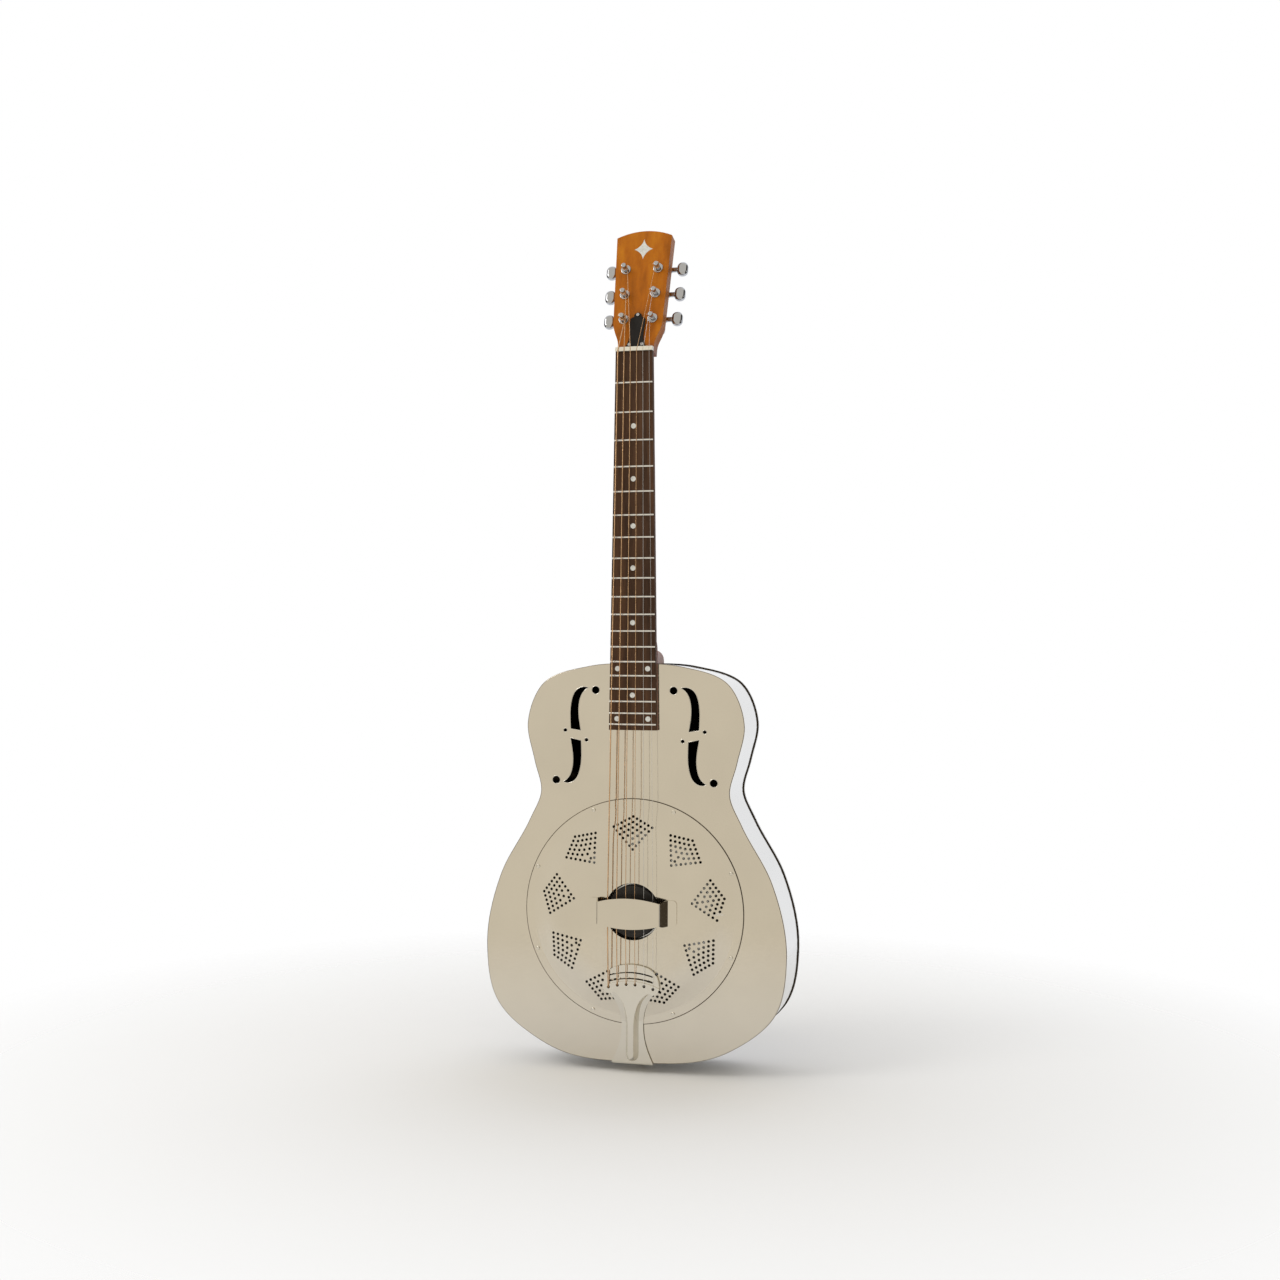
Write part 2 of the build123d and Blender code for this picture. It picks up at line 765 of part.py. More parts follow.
def heel_section(rise, half, length):
    """Heel section parallel to the face: flat on the body, rounded towards the nut."""
    with BuildSketch(front(rise)) as shape:
        with BuildLine():
            Line((-half, heel_top_z), (half, heel_top_z))
            Spline([(half, heel_top_z), (0.82 * half, heel_top_z + 0.72 * length), (0, heel_top_z + length),
                    (-0.82 * half, heel_top_z + 0.72 * length), (-half, heel_top_z)],
                   tangents=[(0, 1), (0, -1)])
        make_face()
    return shape.sketch


def head_outline():
    """Headstock outline on its own plane, flaring to an arched top."""
    nut_half = nut_width / 2 - 0.3
    with BuildSketch(head) as shape:
        with BuildLine():
            for hand in (-1, 1):
                Spline([(hand * nut_half, 0), (hand * (nut_half + 1.1), 15.1), (hand * (nut_half + 4.6), 24.0),
                        (hand * head_half_low, head_low)],
                       tangents=[(0, 1), (hand * 0.35, 1)])
                Line((hand * head_half_low, head_low), (hand * head_half_top, head_shoulder))
            ThreePointArc((-head_half_top, head_shoulder), (0, head_length), (head_half_top, head_shoulder))
            Line((-nut_half, 0), (nut_half, 0))
        make_face()
    return shape.sketch


def post_place(i):
    """Centre of string i's post on the head plane."""
    row = min(i, 5 - i)
    hand = -1 if i < 3 else 1
    return hand * post_offsets[row], post_rows[row]


truss_screw_places = [(0, 45.6), (-7.4, 8.6), (7.4, 8.6)]
post_places = [post_place(i) for i in range(6)]
tuner_screw_drop = 10.6
tuner_screw_places = [(x, s - tuner_screw_drop) for x, s in post_places]
nut_far_z = nut_z + nut_length
with BuildPart() as neck:
    loft([neck_section(nut_far_z, neck_depth_nut), neck_section(heel_top_z, neck_depth_joint)])
    extrude(head_outline(), amount=-head_thickness)
    joint_half = board_half(heel_top_z)
    heel_deep = glue_rise - 8.0
    loft([
        heel_section(heel_deep, joint_half - 1.2, heel_length),
        heel_section(heel_deep - 0.35 * heel_reach, 0.8 * joint_half, 0.52 * heel_length),
        heel_section(heel_deep - heel_reach, 0.62 * joint_half, 0.34 * heel_length),
    ])
    with BuildSketch(front(seam_gap)):
        with BuildLine():
            low_half = board_half(board_end_z)
            high_half = board_half(heel_top_z)
            Polyline((-low_half, board_end_z), (low_half, board_end_z), (high_half, heel_top_z),
                     (-high_half, heel_top_z), close=True)
        make_face()
    extrude(amount=glue_rise - seam_gap)
    with BuildSketch(side(0)):
        with Locations((nut_z - 160, (glue_rise + rod_rise - rod_radius - rod_clearance) / 2)):
            Rectangle(2 * (160 + nut_length + 12), glue_rise - rod_rise + rod_radius + rod_clearance)
    extrude(amount=rod_radius + rod_clearance, both=True, mode=Mode.SUBTRACT)
    with BuildSketch(head):
        with Locations((0, 18)):
            RectangleRounded(truss_pocket_width, 26, 3)
        with Locations(*post_places):
            Circle(bushing_radius + 0.05)
    extrude(amount=-truss_pocket_depth, mode=Mode.SUBTRACT)
    with BuildSketch(head):
        with Locations(*post_places):
            Circle(bushing_radius + 0.05)
    extrude(amount=-head_thickness - 1, mode=Mode.SUBTRACT)
    with BuildSketch(head.offset(-head_thickness - 1)):
        with Locations(*tuner_screw_places):
            Circle(tuner_screw_radius)
    extrude(amount=9, mode=Mode.SUBTRACT)
    with BuildSketch(head):
        with Locations(*truss_screw_places):
            Circle(1.05)
    extrude(amount=-7.2, mode=Mode.SUBTRACT)
    extrude(inlay_shape(0.05), amount=-inlay_depth - seam_gap, mode=Mode.SUBTRACT)
finish(neck.part, "neck")


# ---------------------------------------------------------------- truss rod
with BuildPart() as truss_rod:
    rod_low_z = nut_z - 310
    rod_high_z = nut_far_z + 9.5
    with BuildSketch(across(rod_low_z)):
        with Locations((0, rod_rise)):
            Circle(rod_radius)
    extrude(amount=-(rod_high_z - rod_low_z))
finish(truss_rod.part, "truss_rod")

with BuildPart() as truss_rod_nut:
    with BuildSketch(across(nut_far_z + 1.5)):
        with Locations((0, rod_rise)):
            RegularPolygon(3.6, 6)
            Circle(rod_radius + 0.05, mode=Mode.SUBTRACT)
    extrude(amount=-9.5)
finish(truss_rod_nut.part, "truss_rod_nut")

with BuildPart() as truss_cover:
    with BuildSketch(head.offset(seam_gap)):
        with BuildLine():
            bell = [(12.0, 6.2), (9.4, 12.0), (8.2, 24.0), (8.9, 36.0), (8.6, 40.6), (4.4, 43.0), (0, 48.4)]
            Line((-bell[0][0], bell[0][1]), bell[0])
            Spline(bell[:4])
            Polyline(bell[3], bell[4])
            ThreePointArc(bell[4], (6.2, 42.6), bell[5])
            ThreePointArc(bell[5], bell[6], (-bell[5][0], bell[5][1]))
            ThreePointArc((-bell[5][0], bell[5][1]), (-6.2, 42.6), (-bell[4][0], bell[4][1]))
            Polyline((-bell[4][0], bell[4][1]), (-bell[3][0], bell[3][1]))
            Spline([(-x, s) for x, s in reversed(bell[:4])])
        make_face()
        with Locations(*truss_screw_places):
            Circle(1.25, mode=Mode.SUBTRACT)
    extrude(amount=truss_cover_wall)
finish(truss_cover.part, "truss_cover")

with BuildPart() as truss_cover_screws:
    with BuildSketch(head.offset(-7)):
        with Locations(*truss_screw_places):
            Circle(1.0)
    extrude(amount=7 + truss_cover_wall + 0.6)
    with BuildSketch(head.offset(truss_cover_wall + 2 * seam_gap)):
        with Locations(*truss_screw_places):
            Circle(1.9)
    extrude(amount=0.9)
finish(truss_cover_screws.part, "truss_cover_screws")

# ---------------------------------------------------------------- fingerboard
board_axis = Axis((0, top_y - board_rise + board_radius, 0), (0, 0, 1))


def board_blank(low, high, sink, lift, extra=0.0):
    """Tapered slab between two rises, over the board's length."""
    with BuildSketch(front(low)) as shape:
        with BuildLine():
            a = board_half(sink) + extra
            b = board_half(lift) + extra
            Polyline((-a, sink), (a, sink), (b, lift), (-b, lift), close=True)
        make_face()
    return extrude(shape.sketch, amount=high - low, mode=Mode.PRIVATE)


def arched(low_radius, high_radius, sink, lift):
    """Shell between two radii about the board's axis, from z = sink to z = lift."""
    with BuildSketch(Plane.XY.offset(sink)) as shape:
        with Locations((0, board_axis.position.Y)):
            Circle(high_radius)
            if low_radius:
                Circle(low_radius, mode=Mode.SUBTRACT)
    return extrude(shape.sketch, amount=lift - sink, mode=Mode.PRIVATE)


fret_places = [nut_z - fret_drop(n) for n in range(1, fret_count + 1)]
dot_places = [(0, nut_z - (fret_drop(n) + fret_drop(n - 1)) / 2) for n in single_dots]
for n in double_dots:
    for hand in (-1, 1):
        dot_z = nut_z - (fret_drop(n) + fret_drop(n - 1)) / 2
        dot_places.append((hand * double_dot_share * board_half(dot_z), dot_z))

with BuildPart() as fingerboard:
    add(board_blank(glue_rise + seam_gap, board_rise + 1, board_end_z, nut_z - seam_gap))
    add(arched(0, board_radius, board_end_z - 1, nut_z), mode=Mode.INTERSECT)
    with BuildSketch(front(board_rise + 1)):
        with Locations(*[(0, z) for z in fret_places]):
            Rectangle(80, tang_width + 0.1)
    extrude(amount=-(fret_tang + 2.6), mode=Mode.SUBTRACT)
    with BuildSketch(front(board_rise + 1)):
        with Locations(*dot_places):
            Circle(dot_diameter / 2 + 0.03)
    extrude(amount=-(dot_depth + 1.6), mode=Mode.SUBTRACT)
finish(fingerboard.part, "fingerboard")

with BuildPart() as frets:
    for z in fret_places:
        half_angle = degrees(asin((board_half(z) - 0.3) / board_radius))
        start = radians(-half_angle)
        crown = Plane(
            origin=board_axis.position + Vector(0, 0, z),
            x_dir=(0, 0, 1),
            z_dir=(cos(start), sin(start), 0),
        )
        with BuildSketch(crown):
            with BuildLine():
                low = board_radius + 0.02
                Line((-fret_width / 2, low), (fret_width / 2, low))
                ThreePointArc((fret_width / 2, low), (0, low + fret_height), (-fret_width / 2, low))
            make_face()
            with Locations((0, board_radius - fret_tang / 2 + 0.2)):
                Rectangle(tang_width, fret_tang)
        revolve(axis=board_axis, revolution_arc=2 * half_angle)
finish(frets.part, "frets")

with BuildPart() as position_dots:
    with BuildSketch(front(board_rise - dot_depth)):
        with Locations(*dot_places):
            Circle(dot_diameter / 2)
    extrude(amount=dot_depth + 1)
    add(arched(0, board_radius, board_end_z, nut_z), mode=Mode.INTERSECT)
finish(position_dots.part, "position_dots")


# ---------------------------------------------------------------- nut and strings
def tuner_hand(i):
    """-1 on the bass side, +1 on the treble side."""
    return -1 if i < 3 else 1


def nut_x(i):
    """Where string i crosses the nut, bass side negative."""
    return nut_spread * (i / 5 - 0.5)


ball_rise = tail_face_rise - tail_wall - ball_radius - 0.1


def string_end(i):
    """Where string i meets the waist of its post, as high as its turns are wound."""
    x, s = post_places[i]
    radius = string_diameters[i] / 2
    reach = tuner_hand(i) * (post_waist_radius + radius + string_rest_gap)
    wound_height = string_turns[i] * string_diameters[i]
    return head.from_local_coords((x - reach, s, post_waist_low + turns_lift + wound_height - radius))


with BuildPart() as nut:
    with BuildSketch(side(-nut_width / 2)):
        with BuildLine():
            Polyline(
                (nut_z + seam_gap, glue_rise + seam_gap), (nut_far_z, glue_rise + seam_gap),
                (nut_far_z, nut_top_rise - 1.6), (nut_z + seam_gap, nut_top_rise), close=True,
            )
        make_face()
    extrude(amount=nut_width)
    for i in range(6):
        slot = string_diameters[i] / 2 + 1.6 * string_rest_gap
        start = Vector(nut_x(i), top_y, nut_z + nut_break)
        leave = string_end(i) - start
        along = Vector(leave.X, 0, leave.Z).normalized()
        fall = (nut_length + 2) * tan(radians(19))
        with BuildSketch(Plane(origin=start, x_dir=along, z_dir=along.cross(Vector(0, -1, 0)))):
            with BuildLine():
                Polyline((-2, nut_slot_rise), (-0.4, nut_slot_rise), (nut_length + 1.6, nut_slot_rise - fall),
                         (nut_length + 1.6, nut_top_rise + 2), (-2, nut_top_rise + 2), close=True)
            make_face()
        extrude(amount=slot, both=True, mode=Mode.SUBTRACT)
finish(nut.part, "nut")

with BuildPart() as string_ball_ends:
    for i in range(6):
        ball_z = arched_z(tail_x(i), hole_z)
        ball_plane = Plane(origin=(tail_x(i) - ball_length / 2, top_y - ball_rise, ball_z), z_dir=(1, 0, 0))
        with BuildSketch(ball_plane):
            Circle(ball_radius)
        extrude(amount=ball_length)
finish(string_ball_ends.part, "string_ball_ends")

for i in range(6):
    radius = string_diameters[i] / 2
    ball_z = arched_z(tail_x(i), hole_z)
    lift = tail_face_rise + 0.5 + radius
    route = [
        Vector(tail_x(i), top_y - ball_rise - ball_radius - seam_gap, ball_z),
        Vector(tail_x(i), top_y - lift, ball_z),
        Vector(saddle_x(i), top_y - saddle_top_rise - string_rest_gap - radius, saddle_z),
        Vector(nut_x(i), top_y - nut_slot_rise - string_rest_gap - radius, nut_z + nut_break),
        string_end(i),
    ]
    with BuildPart() as string:
        with BuildLine() as path:
            FilletPolyline(*route, radius=[1.1, 6.0, 3.0])
        with BuildSketch(Plane(origin=route[0], z_dir=route[1] - route[0])):
            RegularPolygon(radius, 8)
        sweep(path=path.line)
    finish(string.part, f"string_{i + 1}")

# ---------------------------------------------------------------- tuners
gear_radius = gear_teeth * gear_module / 2
gear_tip = gear_radius + 0.5
gear_root = gear_radius - 0.7
worm_pitch = pi * gear_module
centre_gap = gear_radius + worm_radius
thread_tip = worm_radius + 0.5
thread_root = worm_radius - 0.6
post_bore = post_radius + running_gap
housing_half = gear_tip + 0.3 + housing_wall
housing_far = centre_gap + thread_tip + 0.3 + housing_wall
housing_out = housing_half + 1.0
bearing_length = 3.0
worm_level = -worm_depth_behind_face


def tuner_plane(i, off):
    """Plane square to post i at a height off the headstock's face."""
    x, s = post_places[i]
    return Plane(origin=head.from_local_coords((x, s, off)), x_dir=(1, 0, 0), z_dir=head.z_dir)


def worm_plane(i, reach):
    """Plane square to worm i, facing the button, its X towards the gear."""
    x, s = post_places[i]
    hand = tuner_hand(i)
    return Plane(
        origin=head.from_local_coords((x + hand * reach, s + centre_gap, worm_level)),
        x_dir=-head.y_dir,
        z_dir=(hand, 0, 0),
    )


with BuildPart() as tuner_bushings:
    with BuildSketch(head.offset(-12)):
        with Locations(*post_places):
            Circle(bushing_radius)
            Circle(post_bore, mode=Mode.SUBTRACT)
    extrude(amount=12 + seam_gap + washer_thickness)
    with BuildSketch(head.offset(seam_gap)):
        with Locations(*post_places):
            Circle(washer_radius)
            Circle(post_bore, mode=Mode.SUBTRACT)
    extrude(amount=washer_thickness)
    fillet(tuner_bushings.edges().filter_by(GeomType.CIRCLE).filter_by(lambda e: abs(e.radius - washer_radius) < 0.01)
           .filter_by(lambda e: head.to_local_coords(e.center()).Z > 1), radius=0.7)
finish(tuner_bushings.part, "tuner_bushings")

housing_front = -head_thickness - seam_gap
with BuildPart() as tuner_housings:
    for i in range(6):
        hand = tuner_hand(i)
        middle_x = hand * (housing_out - housing_half) / 2
        middle_s = (housing_far - housing_half) / 2
        outer_x = housing_out + housing_half
        outer_s = housing_far + housing_half
        with BuildSketch(tuner_plane(i, housing_front)):
            with Locations((middle_x, middle_s)):
                RectangleRounded(outer_x, outer_s, 3.0)
        extrude(amount=-housing_depth)
        with BuildSketch(tuner_plane(i, housing_front)):
            with Locations((0, -tuner_screw_drop)):
                Circle(3.4)
            with Locations((0, -tuner_screw_drop + 3)):
                Rectangle(6.8, 6)
        extrude(amount=-2.0)
    back_faces = tuner_housings.faces().filter_by(lambda f: abs(head.to_local_coords(f.center()).Z - housing_front
                                                                + housing_depth) < 0.01)
    fillet([edge for face in back_faces for edge in face.edges()], radius=1.5)
    for i in range(6):
        hand = tuner_hand(i)
        middle_x = hand * (housing_out - housing_half) / 2
        middle_s = (housing_far - housing_half) / 2
        with BuildSketch(tuner_plane(i, housing_front)):
            with Locations((middle_x, middle_s)):
                RectangleRounded(outer_x - 2 * housing_wall, outer_s - 2 * housing_wall, 2.0)
        extrude(amount=-(housing_depth - housing_wall), mode=Mode.SUBTRACT)
        with BuildSketch(tuner_plane(i, housing_front + 1)):
            with Locations((0, -tuner_screw_drop)):
                Circle(tuner_screw_radius + 0.1)
        extrude(amount=-5, mode=Mode.SUBTRACT)
        with BuildSketch(worm_plane(i, housing_out - housing_wall / 2)):
            Circle(worm_shaft_radius + 1.4)
        extrude(amount=bearing_length)
        with BuildSketch(worm_plane(i, housing_out - 3)):
            Circle(worm_shaft_radius + running_gap)
        extrude(amount=12, mode=Mode.SUBTRACT)
finish(tuner_housings.part, "tuner_housings")

with BuildPart() as tuner_screws:
    for i in range(6):
        with BuildSketch(tuner_plane(i, housing_front - 2.0 - seam_gap)):
            with Locations((0, -tuner_screw_drop)):
                Circle(2.4)
        extrude(amount=-1.2)
        with BuildSketch(tuner_plane(i, housing_front - 2.4)):
            with Locations((0, -tuner_screw_drop)):
                Circle(tuner_screw_radius - 0.1)
        extrude(amount=9.5)
finish(tuner_screws.part, "tuner_screws")

for i in range(6):
    hand = tuner_hand(i)
    with BuildPart() as post:
        with BuildSketch(tuner_plane(i, -head_thickness + 0.5)):
            Circle(post_radius)
        extrude(amount=head_thickness - 0.5 + post_top)
        fillet(post.faces().filter_by(lambda f: head.to_local_coords(f.center()).Z > post_top - 0.01).edges(), 0.7)
        with BuildSketch(tuner_plane(i, post_waist_low)):
            Circle(post_radius + 1)
            Circle(post_waist_radius, mode=Mode.SUBTRACT)
        extrude(amount=post_waist_high - post_waist_low, mode=Mode.SUBTRACT)
        with BuildSketch(tuner_plane(i, worm_level - gear_width / 2 - 0.8)):
            Circle(post_foot_radius)
        extrude(amount=-worm_level + gear_width / 2 + 0.8 - head_thickness + 0.5)
        with BuildSketch(Plane(origin=tuner_plane(i, post_top - 1.9).origin, z_dir=(1, 0, 0))):
            Circle(0.75)
        extrude(amount=4, both=True, mode=Mode.SUBTRACT)
    finish(post.part, f"tuner_post_{i + 1}")

    with BuildPart() as gear:
        with BuildSketch(tuner_plane(i, worm_level - gear_width / 2)):
            Circle(gear_root)
            with PolarLocations(0, gear_teeth, start_angle=90 + 180 / gear_teeth):
                with BuildLine():
                    half_tooth = tooth_width / 2
                    Polyline((gear_root - 0.3, -half_tooth - 0.25), (gear_tip, -half_tooth + 0.2),
                             (gear_tip, half_tooth - 0.2), (gear_root - 0.3, half_tooth + 0.25), close=True)
                make_face()
            Circle(post_foot_radius + 0.05, mode=Mode.SUBTRACT)
        extrude(amount=gear_width)
    finish(gear.part, f"tuner_gear_{i + 1}")

    button_inner = button_reach - button_width / 2
    with BuildPart() as worm:
        with BuildSketch(worm_plane(i, -housing_half + housing_wall + 0.3)):
            Circle(worm_shaft_radius)
        extrude(amount=housing_half - housing_wall - 0.3 + button_inner + 5.0)
        half_thread = worm_turns * worm_pitch / 2
        with BuildSketch(worm_plane(i, -half_thread - 0.3)):
            Circle(thread_root)
        extrude(amount=2 * half_thread + 0.6)
        helix_start = -2 * worm_pitch
        helix = worm_plane(i, helix_start).from_local_coords(Edge.make_helix(worm_pitch, 4 * worm_pitch, thread_root))
        outward = -head.y_dir
        section = Plane(origin=helix @ 0, x_dir=outward, z_dir=helix % 0)
        with BuildSketch(section):
            with BuildLine():
                height = thread_tip - thread_root
                Polyline((-0.15, -thread_width / 2 - 0.15), (height, -thread_width / 2 + 0.1),
                         (height, thread_width / 2 - 0.1), (-0.15, thread_width / 2 + 0.15), close=True)
            make_face()
        sweep(path=helix, is_frenet=True)
    finish(worm.part, f"tuner_worm_{i + 1}")

    with BuildPart() as button:
        x, s = post_places[i]
        with BuildSketch(head.offset(worm_level - button_thickness / 2)):
            with Locations((x + hand * button_reach, s + centre_gap)):
                RectangleRounded(button_width, button_height, 0.46 * button_width)
        extrude(amount=button_thickness)
        fillet(button.edges().filter_by(lambda e: abs(abs(head.to_local_coords(e.center()).Z - worm_level)
                                                      - button_thickness / 2) < 0.01), radius=3.2)
        with BuildSketch(worm_plane(i, housing_out + bearing_length - housing_wall / 2 + 0.3)):
            Circle(worm_shaft_radius + 1.0)
        extrude(amount=button_reach - housing_out - bearing_length + housing_wall / 2 - 0.3)
        with BuildSketch(worm_plane(i, housing_out)):
            Circle(worm_shaft_radius + seam_gap)
        extrude(amount=button_inner + 5.0 + seam_gap - housing_out, mode=Mode.SUBTRACT)
    finish(button.part, f"tuner_button_{i + 1}")
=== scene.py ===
import json
from math import ceil, cos, pi, radians, sin, sqrt

import bmesh
import bpy
from mathutils import Matrix, Vector


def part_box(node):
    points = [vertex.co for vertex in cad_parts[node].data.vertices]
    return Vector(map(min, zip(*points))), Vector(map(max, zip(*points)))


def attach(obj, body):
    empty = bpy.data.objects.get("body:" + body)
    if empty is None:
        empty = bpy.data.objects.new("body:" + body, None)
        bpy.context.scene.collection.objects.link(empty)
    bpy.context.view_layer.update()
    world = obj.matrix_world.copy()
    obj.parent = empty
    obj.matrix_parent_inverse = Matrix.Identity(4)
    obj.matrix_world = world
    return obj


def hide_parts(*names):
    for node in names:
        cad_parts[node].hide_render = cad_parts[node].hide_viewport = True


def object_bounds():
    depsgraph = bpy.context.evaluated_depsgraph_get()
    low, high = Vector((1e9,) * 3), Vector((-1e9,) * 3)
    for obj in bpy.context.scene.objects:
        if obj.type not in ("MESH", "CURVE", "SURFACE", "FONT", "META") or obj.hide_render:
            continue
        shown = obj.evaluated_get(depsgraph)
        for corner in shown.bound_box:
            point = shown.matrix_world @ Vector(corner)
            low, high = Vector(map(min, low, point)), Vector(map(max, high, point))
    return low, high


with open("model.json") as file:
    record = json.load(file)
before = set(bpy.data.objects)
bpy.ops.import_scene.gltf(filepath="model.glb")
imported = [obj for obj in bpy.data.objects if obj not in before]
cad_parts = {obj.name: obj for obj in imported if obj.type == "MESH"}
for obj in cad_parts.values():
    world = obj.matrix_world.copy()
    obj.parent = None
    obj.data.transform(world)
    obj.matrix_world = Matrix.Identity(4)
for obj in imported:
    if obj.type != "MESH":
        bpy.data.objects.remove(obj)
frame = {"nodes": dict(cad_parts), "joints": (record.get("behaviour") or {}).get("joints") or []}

MM = 0.001
CAD_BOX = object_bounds()
nodes = frame["nodes"]
joints = {joint["name"]: joint for joint in frame["joints"]}

# ---------------------------------------------------------------- driving values, in metres
TOP_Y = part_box("body_top")[0].y
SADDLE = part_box("saddle")
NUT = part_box("nut")

HEAD_TILT = radians(15.3)
HEAD_UP = Vector((0, sin(HEAD_TILT), cos(HEAD_TILT)))
HEAD_OUT = Vector((0, -cos(HEAD_TILT), sin(HEAD_TILT)))
HEAD_RIGHT = Vector((1, 0, 0))

STRING_DIAMETERS = [d * MM for d in (1.35, 1.07, 0.81, 0.61, 0.41, 0.30)]
STRING_TURNS = (1.9, 3.0, 3.2, 3.5, 4.0, 4.0)
WOUND_STRINGS = 4
NUT_SPREAD = 36.5 * MM
SADDLE_SPREAD = 53.0 * MM
TAIL_PITCH = 10.4 * MM
TAIL_BOW = 85.0 * MM
TAIL_HOLE_Z = 94.8 * MM
TAIL_FACE_RISE = 10.8 * MM
SADDLE_TOP_RISE = 14.0 * MM
NUT_SLOT_RISE = 9.95 * MM
NUT_BREAK = 0.4 * MM
REST_GAP = 0.05 * MM
POST_WAIST = 2.2 * MM
POST_RADIUS = 2.8 * MM
TURNS_LOW = 2.2 * MM
POST_HOLE = 10.1 * MM
STRING_LAP = 0.6 * MM
BEND_LEAD = 1.5 * MM
BALL_DEPTH = 3 * MM
TAIL_CLEARANCE = 0.5 * MM
SHOULDER_CLEARANCE = 0.15 * MM
HOLE_INSET = 0.6 * MM
TIP_INSIDE = 1.4 * MM
TIP_OUTSIDE = 2.2 * MM
TIP_LIFT = 0.5 * MM
STEPS_PER_TURN = 28
WIRE_BEVEL = 2
BEAD_BEVEL = 3

BEAD_OUT = 0.5 * MM
BEAD_RADIUS = 0.5 * MM
# The ring of painted shadow round the cover plate.
SHADE_RING_OUT = 0.45 * MM
SHADE_RING_DEPTH = 0.25 * MM
SHADE_RING_RADIUS = 0.55 * MM
SHADE_RING_STEPS = 180
LIP_DEPTH = 0.4 * MM
LIP_RADIUS = 0.55 * MM
UPPER_BOUT_Z = 0.30
SOUND_HOLE_REACH = 0.1

CAMERA_PLACE = (0.4910, -1.8375, 0.4629)
CAMERA_AHEAD = (-0.26075, 0.96535, 0.01098)
CAMERA_ROLL = radians(0.245)
CAMERA_LENS = 46.06
CAMERA_SENSOR = 36.0
FLOOR_RADIUS = 1.6
FLOOR_GAP = 0.0005


# ---------------------------------------------------------------- camera, light and floor
def make_camera():
    data = bpy.data.cameras.new("camera")
    data.sensor_width = CAMERA_SENSOR
    data.lens = CAMERA_LENS
    data.clip_start = 0.05
    camera = bpy.data.objects.new("camera", data)
    bpy.context.scene.collection.objects.link(camera)
    place = Vector(CAMERA_PLACE)
    ahead = Vector(CAMERA_AHEAD).normalized()
    level_right = ahead.cross(Vector((0, 0, 1))).normalized()
    level_up = level_right.cross(ahead)
    right = cos(CAMERA_ROLL) * level_right + sin(CAMERA_ROLL) * level_up
    up = cos(CAMERA_ROLL) * level_up - sin(CAMERA_ROLL) * level_right
    turn = Matrix((right, up, -ahead)).transposed()
    camera.matrix_world = Matrix.Translation(place) @ turn.to_4x4()
    bpy.context.scene.camera = camera


def add_area(name, place, target, size, power, colour):
    data = bpy.data.lights.new(name, "AREA")
    data.shape = "DISK"
    data.size = size
    data.energy = power
    data.color = colour
    light = bpy.data.objects.new(name, data)
    light.location = place
    light.rotation_euler = (Vector(target) - Vector(place)).to_track_quat("-Z", "Y").to_euler()
    bpy.context.scene.collection.objects.link(light)


def make_world():
    """Warm grey room in front, white sweep behind, a dark flag to each side for the metal to mirror."""
    world = bpy.data.worlds.new("studio")
    bpy.context.scene.world = world
    world.use_nodes = True
    tree = world.node_tree
    tree.nodes.clear()
    coords = tree.nodes.new("ShaderNodeTexCoord")
    split = tree.nodes.new("ShaderNodeSeparateXYZ")
    tree.links.new(coords.outputs["Generated"], split.inputs[0])
    depth = add_ramp(tree, [(0.0, (0.76, 0.71, 0.61)), (0.35, (0.80, 0.77, 0.70)), (0.55, (0.93, 0.93, 0.94)),
                            (1.0, (0.97, 0.98, 1.0))])
    unit = add_math(tree, "MULTIPLY_ADD", split.outputs["Y"], 0.5, 0.5)
    tree.links.new(unit, depth.inputs["Fac"])
    aside = add_math(tree, "MULTIPLY_ADD", split.outputs["X"], 0.5, 0.5)
    flag = (0.10, 0.09, 0.08)
    flags = add_ramp(tree, [(0.0, (0.5, 0.5, 0.5)), (0.015, flag), (0.065, flag), (0.10, (1, 1, 1)),
                            (0.80, (1, 1, 1)), (0.84, flag), (0.965, flag), (0.988, (0.9, 0.9, 0.9))])
    tree.links.new(aside, flags.inputs["Fac"])
    mirrored = tree.nodes.new("ShaderNodeMixRGB")
    mirrored.blend_type = "MULTIPLY"
    mirrored.inputs["Fac"].default_value = 1.0
    tree.links.new(depth.outputs["Color"], mirrored.inputs["Color1"])
    tree.links.new(flags.outputs["Color"], mirrored.inputs["Color2"])
    room = tree.nodes.new("ShaderNodeBackground")
    tree.links.new(mirrored.outputs["Color"], room.inputs["Color"])
    white = tree.nodes.new("ShaderNodeBackground")
    white.inputs["Color"].default_value = (1, 1, 1, 1)
    ray = tree.nodes.new("ShaderNodeLightPath")
    mix = tree.nodes.new("ShaderNodeMixShader")
    tree.links.new(ray.outputs["Is Camera Ray"], mix.inputs["Fac"])
    tree.links.new(room.outputs[0], mix.inputs[1])
    tree.links.new(white.outputs[0], mix.inputs[2])
    output = tree.nodes.new("ShaderNodeOutputWorld")
    tree.links.new(mix.outputs[0], output.inputs["Surface"])


